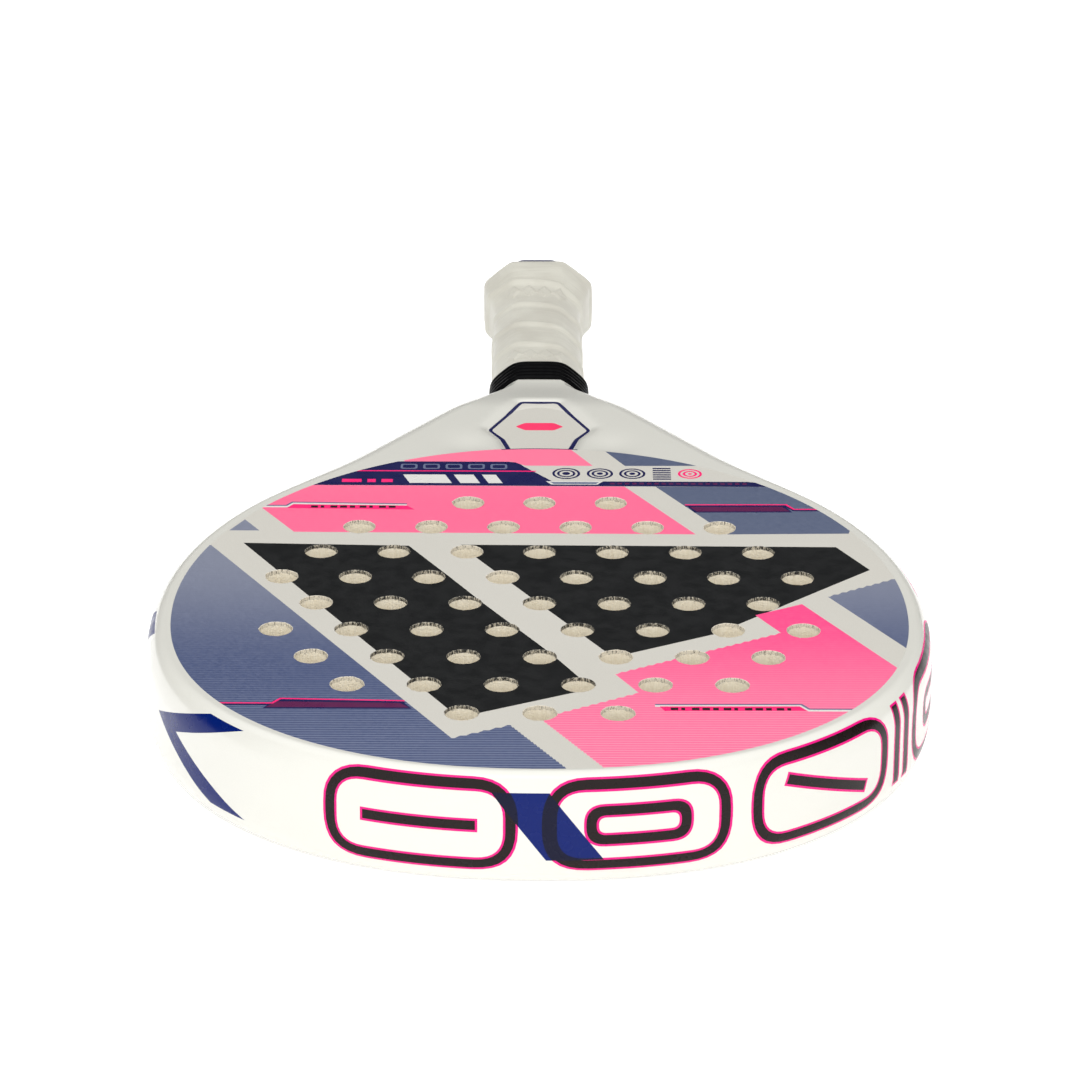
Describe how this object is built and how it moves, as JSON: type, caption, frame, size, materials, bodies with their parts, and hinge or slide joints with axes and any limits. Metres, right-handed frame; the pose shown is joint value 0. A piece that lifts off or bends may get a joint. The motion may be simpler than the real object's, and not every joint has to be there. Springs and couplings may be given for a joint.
{
  "type": "padel racket",
  "caption": "Padel racket with a thick perforated foam-cored head, a closed throat with a recessed heart panel, a tape-wrapped handle with a rubber collar and a flared butt.",
  "frame": {"origin": "centre of the overall box, on the back face that the racket lies on", "axes": "+Y from the tip of the head towards the butt of the handle, +Z out of the front face, +X to the right as seen from the tip over the front face"},
  "size_m": [0.258, 0.454, 0.038],
  "materials": {
    "rim_lacquer": "pearl white gloss lacquer over laminate",
    "face_lacquer": "satin clear lacquer over a printed face",
    "bare_laminate": "unpainted moulded laminate",
    "eva_foam": "cut closed-cell foam",
    "dark_foam": "soft closed-cell foam",
    "pallet_foam": "moulded rigid foam",
    "grip_tape": "matte cushioned synthetic tape",
    "vinyl_tape": "thin vinyl tape",
    "collar_rubber": "ribbed stretched rubber",
    "cap_plastic": "fine-grained moulded plastic",
    "staple_wire": "drawn wire"
  },
  "bodies": {
    "root": {"frame_tube": "rim_lacquer", "throat_bridge": "bare_laminate", "foam_core": "eva_foam", "front_skin": "face_lacquer", "back_skin": "face_lacquer", "heart_core": "eva_foam", "heart_panel_front": "face_lacquer", "heart_panel_back": "face_lacquer", "stem_spacer": "bare_laminate", "stem_plugs": "dark_foam", "pallet_front": "pallet_foam", "pallet_back": "pallet_foam", "base_grip": "dark_foam", "grip_tape": "grip_tape", "finishing_tape": "vinyl_tape", "grip_collar": "collar_rubber", "butt_cap": "cap_plastic", "cap_staples": "staple_wire"}
  },
  "joints": []
}
